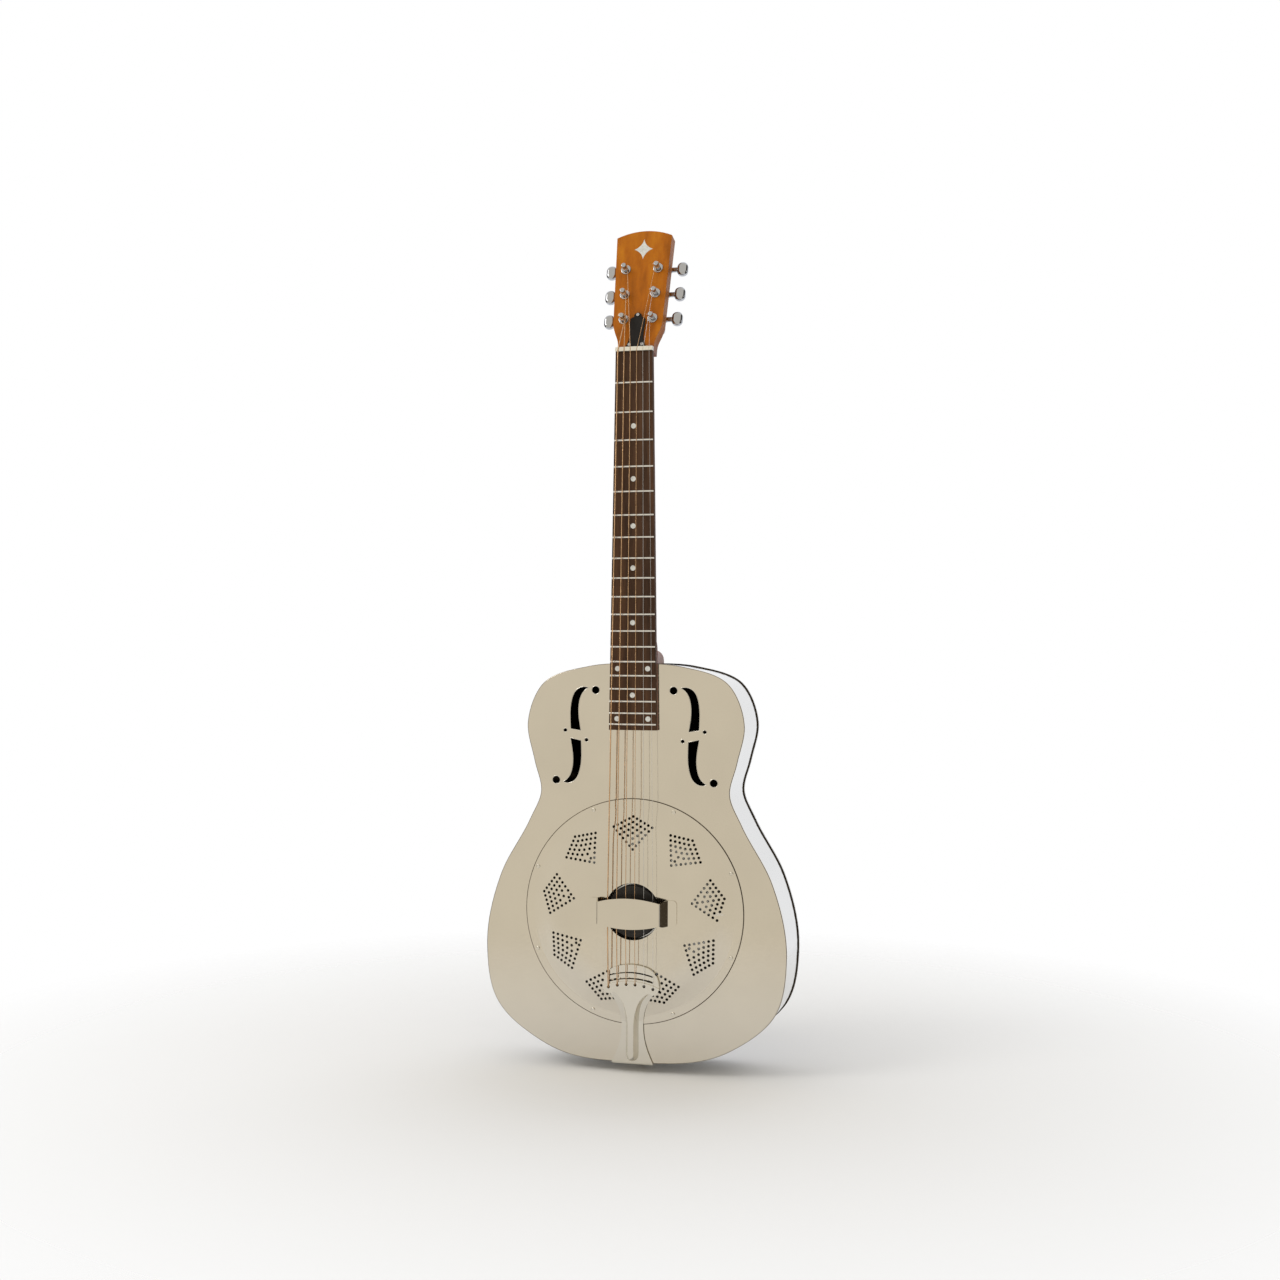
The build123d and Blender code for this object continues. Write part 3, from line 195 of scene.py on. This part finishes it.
def make_floor():
    """A pale round floor that fades into the white room."""
    mesh = bpy.data.meshes.new("floor")
    shape = bmesh.new()
    bmesh.ops.create_circle(shape, cap_ends=True, segments=96, radius=FLOOR_RADIUS)
    shape.to_mesh(mesh)
    shape.free()
    floor = bpy.data.objects.new("floor", mesh)
    floor.location = (0, 0, CAD_BOX[0][2] - FLOOR_GAP)
    bpy.context.scene.collection.objects.link(floor)
    material = bpy.data.materials.new("floor")
    material.use_nodes = True
    tree = material.node_tree
    tree.nodes.clear()
    coords = tree.nodes.new("ShaderNodeTexCoord")
    reach = tree.nodes.new("ShaderNodeVectorMath")
    reach.operation = "LENGTH"
    tree.links.new(coords.outputs["Object"], reach.inputs[0])
    fade = add_ramp(tree, [(0.12, (0, 0, 0)), (0.60, (1, 1, 1))])
    share = add_math(tree, "DIVIDE", reach.outputs["Value"], FLOOR_RADIUS)
    tree.links.new(share, fade.inputs["Fac"])
    diffuse = tree.nodes.new("ShaderNodeBsdfDiffuse")
    diffuse.inputs["Color"].default_value = (0.93, 0.93, 0.93, 1)
    clear = tree.nodes.new("ShaderNodeBsdfTransparent")
    mix = tree.nodes.new("ShaderNodeMixShader")
    tree.links.new(fade.outputs["Color"], mix.inputs["Fac"])
    tree.links.new(diffuse.outputs[0], mix.inputs[1])
    tree.links.new(clear.outputs[0], mix.inputs[2])
    output = tree.nodes.new("ShaderNodeOutputMaterial")
    tree.links.new(mix.outputs[0], output.inputs["Surface"])
    mesh.materials.append(material)


# ---------------------------------------------------------------- node helpers
def add_math(tree, operation, value, *constants):
    node = tree.nodes.new("ShaderNodeMath")
    node.operation = operation
    tree.links.new(value, node.inputs[0])
    for place, constant in enumerate(constants, 1):
        node.inputs[place].default_value = constant
    return node.outputs[0]


def add_ramp(tree, stops):
    node = tree.nodes.new("ShaderNodeValToRGB")
    elements = node.color_ramp.elements
    while len(elements) < len(stops):
        elements.new(0.5)
    for element, (place, colour) in zip(elements, stops):
        element.position = place
        element.color = (*colour, 1)
    return node


def add_noise(tree, scale, detail=4.0, roughness=0.55):
    """Noise in the row frame, with its own scale along X, Y and Z (features per metre)."""
    coords = tree.nodes.new("ShaderNodeTexCoord")
    stretch = tree.nodes.new("ShaderNodeMapping")
    stretch.inputs["Scale"].default_value = scale
    tree.links.new(coords.outputs["Object"], stretch.inputs["Vector"])
    noise = tree.nodes.new("ShaderNodeTexNoise")
    noise.inputs["Scale"].default_value = 1.0
    noise.inputs["Detail"].default_value = detail
    noise.inputs["Roughness"].default_value = roughness
    tree.links.new(stretch.outputs["Vector"], noise.inputs["Vector"])
    return noise.outputs["Fac"]


def start_material(name):
    material = bpy.data.materials.new(name)
    material.use_nodes = True
    tree = material.node_tree
    return material, tree, tree.nodes["Principled BSDF"]


def spread(tree, value, low, high):
    node = tree.nodes.new("ShaderNodeMapRange")
    node.inputs["From Min"].default_value = 0.3
    node.inputs["From Max"].default_value = 0.7
    node.inputs["To Min"].default_value = low
    node.inputs["To Max"].default_value = high
    tree.links.new(value, node.inputs["Value"])
    return node.outputs["Result"]


def add_bump(tree, shader, height, distance, strength=1.0):
    node = tree.nodes.new("ShaderNodeBump")
    node.inputs["Distance"].default_value = distance
    node.inputs["Strength"].default_value = strength
    tree.links.new(height, node.inputs["Height"])
    tree.links.new(node.outputs["Normal"], shader.inputs["Normal"])


def paint_inner_shade(material, limit, *terms):
    """Painted shade: a near-black base colour on the faces that look into the body, where the product of the
    terms is low.
    """
    tree = material.node_tree
    shader = tree.nodes["Principled BSDF"]
    coords = tree.nodes.new("ShaderNodeTexCoord")
    product = tree.nodes.new("ShaderNodeMath")
    product.operation = "MULTIPLY"
    product.inputs[1].default_value = 1.0
    for factor, (output, axis) in zip(product.inputs, terms):
        split = tree.nodes.new("ShaderNodeSeparateXYZ")
        tree.links.new(coords.outputs[output], split.inputs[0])
        tree.links.new(split.outputs[axis], factor)
    inner_shade_mask = add_math(tree, "LESS_THAN", product.outputs[0], limit)
    mix = tree.nodes.new("ShaderNodeMixRGB")
    tree.links.new(inner_shade_mask, mix.inputs["Fac"])
    tree.links.new(shader.inputs["Base Color"].links[0].from_socket, mix.inputs["Color1"])
    # Near-black colour of the painted shade.
    mix.inputs["Color2"].default_value = (0.045, 0.036, 0.026, 1)
    tree.links.new(mix.outputs["Color"], shader.inputs["Base Color"])


def scaled(colour, share):
    return tuple(channel * share for channel in colour)


# ---------------------------------------------------------------- materials
def metal(name, colour, rough, grain=(400, 400, 400), depth=0.00001, darker=0.93):
    """Plated or bare metal: faint cloudy tarnish, uneven polish and a fine grain."""
    material, tree, shader = start_material(name)
    shader.inputs["Metallic"].default_value = 1.0
    clouds = add_noise(tree, (14, 14, 14), 3)
    ramp = add_ramp(tree, [(0.35, scaled(colour, darker)), (0.65, colour)])
    tree.links.new(clouds, ramp.inputs["Fac"])
    tree.links.new(ramp.outputs["Color"], shader.inputs["Base Color"])
    smears = add_noise(tree, (60, 60, 25), 5)
    tree.links.new(spread(tree, smears, 0.88 * rough, 1.15 * rough), shader.inputs["Roughness"])
    add_bump(tree, shader, add_noise(tree, grain, 3), depth, 0.5)
    return material


def wood(name, light, dark, rough, coat, pore_depth=0.00004, sheen=0.3):
    """Straight-grained wood along the neck, with pores."""
    material, tree, shader = start_material(name)
    figure = add_noise(tree, (95, 95, 5), 6, 0.6)
    ramp = add_ramp(tree, [(0.3, dark), (0.7, light)])
    tree.links.new(figure, ramp.inputs["Fac"])
    pores = add_noise(tree, (1500, 1500, 70), 2)
    pits = add_ramp(tree, [(0.36, (0.55, 0.55, 0.55)), (0.46, (1, 1, 1))])
    tree.links.new(pores, pits.inputs["Fac"])
    mix = tree.nodes.new("ShaderNodeMixRGB")
    mix.blend_type = "MULTIPLY"
    mix.inputs["Fac"].default_value = 0.8
    tree.links.new(ramp.outputs["Color"], mix.inputs["Color1"])
    tree.links.new(pits.outputs["Color"], mix.inputs["Color2"])
    tree.links.new(mix.outputs["Color"], shader.inputs["Base Color"])
    tree.links.new(spread(tree, figure, 0.85 * rough, 1.15 * rough), shader.inputs["Roughness"])
    shader.inputs["Specular IOR Level"].default_value = sheen
    shader.inputs["Coat Weight"].default_value = coat
    shader.inputs["Coat Roughness"].default_value = 0.08
    add_bump(tree, shader, pits.outputs["Color"], pore_depth, 0.6)
    return material, tree, mix


def neck_wood():
    """Reddish mahogany on the neck, under an amber face and edge on the headstock."""
    material, tree, red = wood("neck_mahogany", (0.34, 0.115, 0.055), (0.21, 0.062, 0.032), 0.42, 0.05,
                           sheen=0.15)
    shader = tree.nodes["Principled BSDF"]
    figure = add_noise(tree, (70, 70, 6), 6, 0.6)
    amber = add_ramp(tree, [(0.30, (0.31, 0.086, 0.001)), (0.52, (0.49, 0.140, 0.002)),
                            (0.74, (0.62, 0.210, 0.006))])
    tree.links.new(figure, amber.inputs["Fac"])
    coords = tree.nodes.new("ShaderNodeTexCoord")
    split = tree.nodes.new("ShaderNodeSeparateXYZ")
    tree.links.new(coords.outputs["Object"], split.inputs[0])
    above = tree.nodes.new("ShaderNodeMapRange")
    above.inputs["From Min"].default_value = NUT[0].z - 0.002
    above.inputs["From Max"].default_value = NUT[0].z + 0.012
    tree.links.new(split.outputs["Z"], above.inputs["Value"])
    mix = tree.nodes.new("ShaderNodeMixRGB")
    tree.links.new(above.outputs["Result"], mix.inputs["Fac"])
    tree.links.new(red.outputs["Color"], mix.inputs["Color1"])
    tree.links.new(amber.outputs["Color"], mix.inputs["Color2"])
    tree.links.new(mix.outputs["Color"], shader.inputs["Base Color"])
    return material


def smooth_plain(name, colour, rough, coat=0.4, mottle=0.9, scale=(180, 180, 180), sheen=0.5):
    """Bone, pearl or moulded plastic: mottled, with faint scuffs."""
    material, tree, shader = start_material(name)
    ramp = add_ramp(tree, [(0.35, scaled(colour, mottle)), (0.65, colour)])
    tree.links.new(add_noise(tree, scale, 4), ramp.inputs["Fac"])
    tree.links.new(ramp.outputs["Color"], shader.inputs["Base Color"])
    tree.links.new(spread(tree, add_noise(tree, (500, 500, 500), 3), 0.8 * rough, 1.25 * rough),
                   shader.inputs["Roughness"])
    shader.inputs["Specular IOR Level"].default_value = sheen
    shader.inputs["Coat Weight"].default_value = coat
    add_bump(tree, shader, add_noise(tree, (900, 900, 900), 3), 0.00001, 0.5)
    return material


def wound_wire(name, colour, pitch):
    """Round-wound string: fine turns across its length."""
    material, tree, shader = start_material(name)
    shader.inputs["Metallic"].default_value = 1.0
    ramp = add_ramp(tree, [(0.3, scaled(colour, 0.75)), (0.7, colour)])
    tree.links.new(add_noise(tree, (200, 200, 60), 4), ramp.inputs["Fac"])
    tree.links.new(ramp.outputs["Color"], shader.inputs["Base Color"])
    tree.links.new(spread(tree, add_noise(tree, (300, 300, 80), 3), 0.24, 0.4), shader.inputs["Roughness"])
    coords = tree.nodes.new("ShaderNodeTexCoord")
    turns = tree.nodes.new("ShaderNodeTexWave")
    turns.bands_direction = "Z"
    turns.inputs["Scale"].default_value = 0.314 / pitch
    tree.links.new(coords.outputs["Object"], turns.inputs["Vector"])
    add_bump(tree, shader, turns.outputs["Fac"], 0.0001, 0.6)
    return material


NICKEL = (0.73, 0.68, 0.59)
MATERIALS = {}


def make_materials():
    plate = metal("body_nickel", NICKEL, 0.085, (900, 900, 40), 0.0000006, 0.96)
    polished = metal("polished_nickel", (0.75, 0.715, 0.64), 0.05, (90, 90, 90), 0.000004, 0.96)
    side = metal("polished_nickel_side", (0.72, 0.715, 0.70), 0.09, (40, 40, 40), 0.000008, 0.96)
    # Painted shade on the faces of the sides and the back that look into the body.
    paint_inner_shade(side, -0.002, ("Object", "X"), ("Normal", "X"))
    back = metal("back_nickel", (0.73, 0.72, 0.70), 0.10, (900, 900, 40), 0.000001, 0.97)
    paint_inner_shade(back, -0.9, ("Normal", "Y"))
    chrome = metal("chrome", (0.53, 0.54, 0.57), 0.07, (300, 300, 300), 0.000002, 0.95)
    steel = metal("drawn_steel", (0.66, 0.66, 0.67), 0.28, (1200, 1200, 90))
    brass = metal("turned_brass", (0.72, 0.52, 0.24), 0.25)
    rosewood = wood("rosewood", (0.115, 0.055, 0.027), (0.035, 0.016, 0.008), 0.58, 0.0, 0.0001, 0.18)[0]
    maple = wood("maple", (0.66, 0.46, 0.26), (0.50, 0.33, 0.17), 0.55, 0.0)[0]
    stained = wood("stained_maple", (0.030, 0.026, 0.024), (0.014, 0.012, 0.011), 0.4, 0.1)[0]
    pearl = smooth_plain("pearl", (0.86, 0.88, 0.87), 0.15, 0.8, 0.78, (420, 420, 420))
    MATERIALS.update({
        "body_top": plate,
        "cover_plate": plate,
        "sound_well": metal("dull_inside", (0.24, 0.21, 0.17), 0.5, (500, 500, 500), 0.00001, 0.7),
        "hand_rest": metal("hand_rest_nickel", NICKEL, 0.06, (120, 120, 120), 0.000002, 0.96),
        "body_sides": side,
        "body_back": back,
        "tailpiece": polished,
        "cover_screws": polished,
        "resonator_cone": metal("spun_aluminium", (0.86, 0.87, 0.88), 0.22, (60, 900, 60), 0.00002),
        "biscuit": stained,
        "saddle": maple,
        "neck_stick": maple,
        "stick_supports": maple,
        "neck": neck_wood(),
        "fingerboard": rosewood,
        "frets": metal("fret_wire", (0.82, 0.80, 0.76), 0.14),
        "position_dots": pearl,
        "head_inlay": pearl,
        "nut": smooth_plain("bone", (0.88, 0.84, 0.73), 0.3),
        "truss_cover": smooth_plain("black_plastic", (0.018, 0.016, 0.015), 0.42, 0.0, 0.7, sheen=0.15),
        "truss_rod_nut": brass,
        # Ball ends painted near black: painted shade for the dark tailpiece holes they sit in.
        "string_ball_ends": metal("ball_brass_painted_shade", (0.09, 0.06, 0.035), 0.55, (800, 800, 800), 0.00002, 0.6),
        "tuner_gear": brass,
        "tuner_worm": steel,
        "truss_rod": steel,
        "biscuit_screw": steel,
        "strap_screw": steel,
    })
    for name in nodes:
        family = name.rstrip("0123456789").rstrip("_")
        material = MATERIALS.get(name) or MATERIALS.get(family) or chrome
        nodes[name].data.materials.clear()
        nodes[name].data.materials.append(material)
    bronze = wound_wire("phosphor_bronze", (0.88, 0.56, 0.31), 0.0003)
    plain = metal("plain_string", (0.92, 0.92, 0.92), 0.3, (900, 900, 60), 0.000002)
    return bronze, plain


# ---------------------------------------------------------------- strings
def link_curve(name, points, radius, material, nurbs):
    """A round wire through or along points, as a curve with a bevel."""
    data = bpy.data.curves.new(name, "CURVE")
    data.dimensions = "3D"
    data.bevel_depth = radius
    data.bevel_resolution = WIRE_BEVEL
    data.resolution_u = 4
    data.use_fill_caps = True
    spline = data.splines.new("NURBS" if nurbs else "POLY")
    spline.points.add(len(points) - 1)
    for point, place in zip(spline.points, points):
        point.co = (*place, 1)
    if nurbs:
        spline.order_u = 3
        spline.use_endpoint_u = True
    data.materials.append(material)
    piece = bpy.data.objects.new(name, data)
    bpy.context.scene.collection.objects.link(piece)
    return piece


def softened(route, lead):
    """The route with a point close on each side of every bend."""
    points = [route[0]]
    for before, bend, after in zip(route, route[1:], route[2:]):
        points.append(bend + lead * (before - bend).normalized())
        points.append(bend)
        points.append(bend + lead * (after - bend).normalized())
    return points + [route[-1]]


def hand_of(i):
    return -1 if i < 3 else 1


def post_point(i, angle, radius, off):
    """A point round post i, at an angle from the treble direction and a height off the face."""
    centre = Vector(joints[f"post_turn_{i + 1}"]["pos_m"])
    return centre + radius * cos(angle) * HEAD_RIGHT + radius * sin(angle) * HEAD_UP + off * HEAD_OUT


def meeting_height(i):
    return TURNS_LOW + (STRING_TURNS[i] - 0.5) * STRING_DIAMETERS[i]


def inner_angle(i):
    return 0.0 if hand_of(i) < 0 else pi


def string_route(i):
    radius = STRING_DIAMETERS[i] / 2
    share = i / 5 - 0.5
    tail_x = TAIL_PITCH * (i - 2.5)
    tail_z = TAIL_HOLE_Z - (TAIL_BOW - sqrt(TAIL_BOW ** 2 - tail_x ** 2))
    saddle_z = (SADDLE[0].z + SADDLE[1].z) / 2
    nut_z = NUT[0].z - REST_GAP
    saddle_y = TOP_Y - SADDLE_TOP_RISE - REST_GAP - radius
    return [
        Vector((tail_x, TOP_Y - TAIL_FACE_RISE + BALL_DEPTH, tail_z)),
        Vector((tail_x, TOP_Y - TAIL_FACE_RISE - TAIL_CLEARANCE - radius, tail_z)),
        Vector((share * SADDLE_SPREAD, saddle_y, saddle_z)),
        Vector((share * NUT_SPREAD, TOP_Y - NUT_SLOT_RISE - REST_GAP - radius, nut_z + NUT_BREAK)),
        post_point(i, inner_angle(i), POST_WAIST + radius + REST_GAP, meeting_height(i)),
    ]


def turns_route(i):
    """The string's turns: up the waist of the post, over its shoulder and through the hole."""
    radius = STRING_DIAMETERS[i] / 2
    turns = STRING_TURNS[i]
    climb = ceil(turns - 0.25) + 0.5 - turns
    start = meeting_height(i)
    way = -hand_of(i) * 2 * pi
    meeting, nut_point = string_route(i)[-1], string_route(i)[-2]
    points = [meeting + STRING_LAP * (nut_point - meeting).normalized()]
    coil_steps = ceil(turns * STEPS_PER_TURN)
    for k in range(coil_steps + 1):
        share = k / coil_steps * turns
        points.append(post_point(i, inner_angle(i) + way * share, POST_WAIST + radius + REST_GAP,
                                 start + 2 * radius * share))
    climb_steps = ceil(climb * STEPS_PER_TURN)
    low = start + 2 * radius * turns
    for k in range(1, climb_steps + 1):
        share = k / climb_steps
        ease = share * share * (3 - 2 * share)
        out = (POST_WAIST + (POST_RADIUS - POST_WAIST + SHOULDER_CLEARANCE) * min(1, 2 * ease)) + radius
        points.append(post_point(i, inner_angle(i) + way * (turns + climb * share), out,
                                 low + (POST_HOLE - low) * ease))
    outer = inner_angle(i) + pi
    points.append(post_point(i, outer, POST_RADIUS - HOLE_INSET, POST_HOLE))
    points.append(post_point(i, outer, -POST_RADIUS - TIP_INSIDE, POST_HOLE))
    points.append(post_point(i, outer, -POST_RADIUS - TIP_OUTSIDE, POST_HOLE + TIP_LIFT))
    return points


def make_strings(bronze, plain):
    for i, diameter in enumerate(STRING_DIAMETERS):
        wire = bronze if i < WOUND_STRINGS else plain
        route = softened(string_route(i), BEND_LEAD)
        straight = link_curve(f"string_wire_{i + 1}", route, diameter / 2, wire, True)
        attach(straight, "guitar")
        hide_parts(f"string_{i + 1}")
        turns = link_curve(f"string_turns_{i + 1}", turns_route(i), diameter / 2, wire, False)
        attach(turns, f"string_post_{i + 1}")


# ---------------------------------------------------------------- rolled lips
def face_loops(node, face_y):
    """Closed loops of mesh edges round the flat face in the plane y = face_y."""
    shape = bmesh.new()
    shape.from_mesh(nodes[node].data)
    bmesh.ops.remove_doubles(shape, verts=shape.verts, dist=1e-6)
    flat = [edge for edge in shape.edges
            if all(abs(v.co.y - face_y) < 5e-6 for v in edge.verts)
            and sum(abs(face.normal.y) > 0.99999 for face in edge.link_faces) == 1]
    linked = {}
    for edge in flat:
        a, b = edge.verts
        linked.setdefault(a, []).append(b)
        linked.setdefault(b, []).append(a)
    loops = []
    seen = set()
    for first in linked:
        if first in seen:
            continue
        loop = [first]
        seen.add(first)
        here = first
        while True:
            following = [v for v in linked[here] if v not in seen]
            if not following:
                break
            here = following[0]
            seen.add(here)
            loop.append(here)
        loops.append([v.co.copy() for v in loop])
    shape.free()
    return loops


def link_loops(name, loops, radius, material):
    """Closed round beads along loops of points."""
    data = bpy.data.curves.new(name, "CURVE")
    data.dimensions = "3D"
    data.bevel_depth = radius
    data.bevel_resolution = BEAD_BEVEL
    for loop in loops:
        spline = data.splines.new("POLY")
        spline.points.add(len(loop) - 1)
        for point, place in zip(spline.points, loop):
            point.co = (*place, 1)
        spline.use_cyclic_u = True
    data.materials.append(material)
    piece = bpy.data.objects.new(name, data)
    bpy.context.scene.collection.objects.link(piece)
    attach(piece, "guitar")


def span(loop):
    return max(p.x for p in loop) - min(p.x for p in loop)


def widened(loop, out, y):
    """The loop moved outward in its own plane, at a new depth."""
    area = sum(a.x * b.z - b.x * a.z for a, b in zip(loop, loop[1:] + loop[:1]))
    side = 1 if area > 0 else -1
    points = []
    for before, here, after in zip(loop[-1:] + loop[:-1], loop, loop[1:] + loop[:1]):
        along = (after - before).normalized()
        points.append(Vector((here.x + side * out * along.z, y, here.z - side * out * along.x)))
    return points


def outline(node, face_y):
    """The widest loop round a plate's flat face, which is the outline of the body."""
    return max(face_loops(node, face_y), key=span)


def make_rims():
    """Dark ring of painted shadow round the cover, for the gap at its edge; the body's dark front bead and
    its polished back bead.
    """
    # A dark ring of painted shadow for the gap round the cover plate's edge.
    gap_shade = metal("cover_gap_painted_shade", (0.16, 0.13, 0.10), 0.35, (900, 900, 900), 0.00001, 0.6)
    bead = metal("bead_nickel", (0.62, 0.59, 0.54), 0.05, (90, 90, 90), 0.000004, 0.9)
    # The front bead is given a dark nickel tone, darker than the back bead.
    darker = metal("front_bead_dark", (0.28, 0.24, 0.20), 0.25, (900, 900, 900), 0.00001, 0.7)
    front = widened(outline("body_top", TOP_Y), BEAD_OUT, TOP_Y + BEAD_OUT)
    link_loops("front_rim_bead", [front], BEAD_RADIUS, darker)
    back_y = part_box("body_back")[1].y
    back = widened(outline("body_back", back_y), BEAD_OUT, back_y - BEAD_OUT)
    link_loops("back_rim_bead", [back], BEAD_RADIUS, bead)
    low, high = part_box("cover_plate")
    middle = (low + high) / 2
    reach = (high.x - low.x) / 2 + SHADE_RING_OUT
    angles = [2 * pi * k / SHADE_RING_STEPS for k in range(SHADE_RING_STEPS)]
    ring = [Vector((middle.x + reach * cos(angle), TOP_Y - SHADE_RING_DEPTH, middle.z + reach * sin(angle)))
            for angle in angles]
    link_loops("cover_gap_shade_ring", [ring], SHADE_RING_RADIUS, gap_shade)


def make_lips(material):
    """The rolled edge round each part of the two sound holes."""
    holes = [loop for loop in face_loops("body_top", TOP_Y)
             if min(p.z for p in loop) > UPPER_BOUT_Z and max(abs(p.x) for p in loop) < SOUND_HOLE_REACH]
    loops = [[Vector((p.x, TOP_Y + LIP_DEPTH, p.z)) for p in loop] for loop in holes]
    link_loops("sound_hole_lips", loops, LIP_RADIUS, material)


# ---------------------------------------------------------------- the scene
bpy.context.scene.view_settings.view_transform = "Standard"
make_camera()
make_world()
make_floor()
add_area("key", (-1.6, -1.5, 2.0), (0, 0, 0.45), 1.2, 14, (1, 0.98, 0.95))
bronze_wire, plain_wire = make_materials()
make_strings(bronze_wire, plain_wire)
make_lips(MATERIALS["tailpiece"])
make_rims()

bpy.context.view_layer.update()
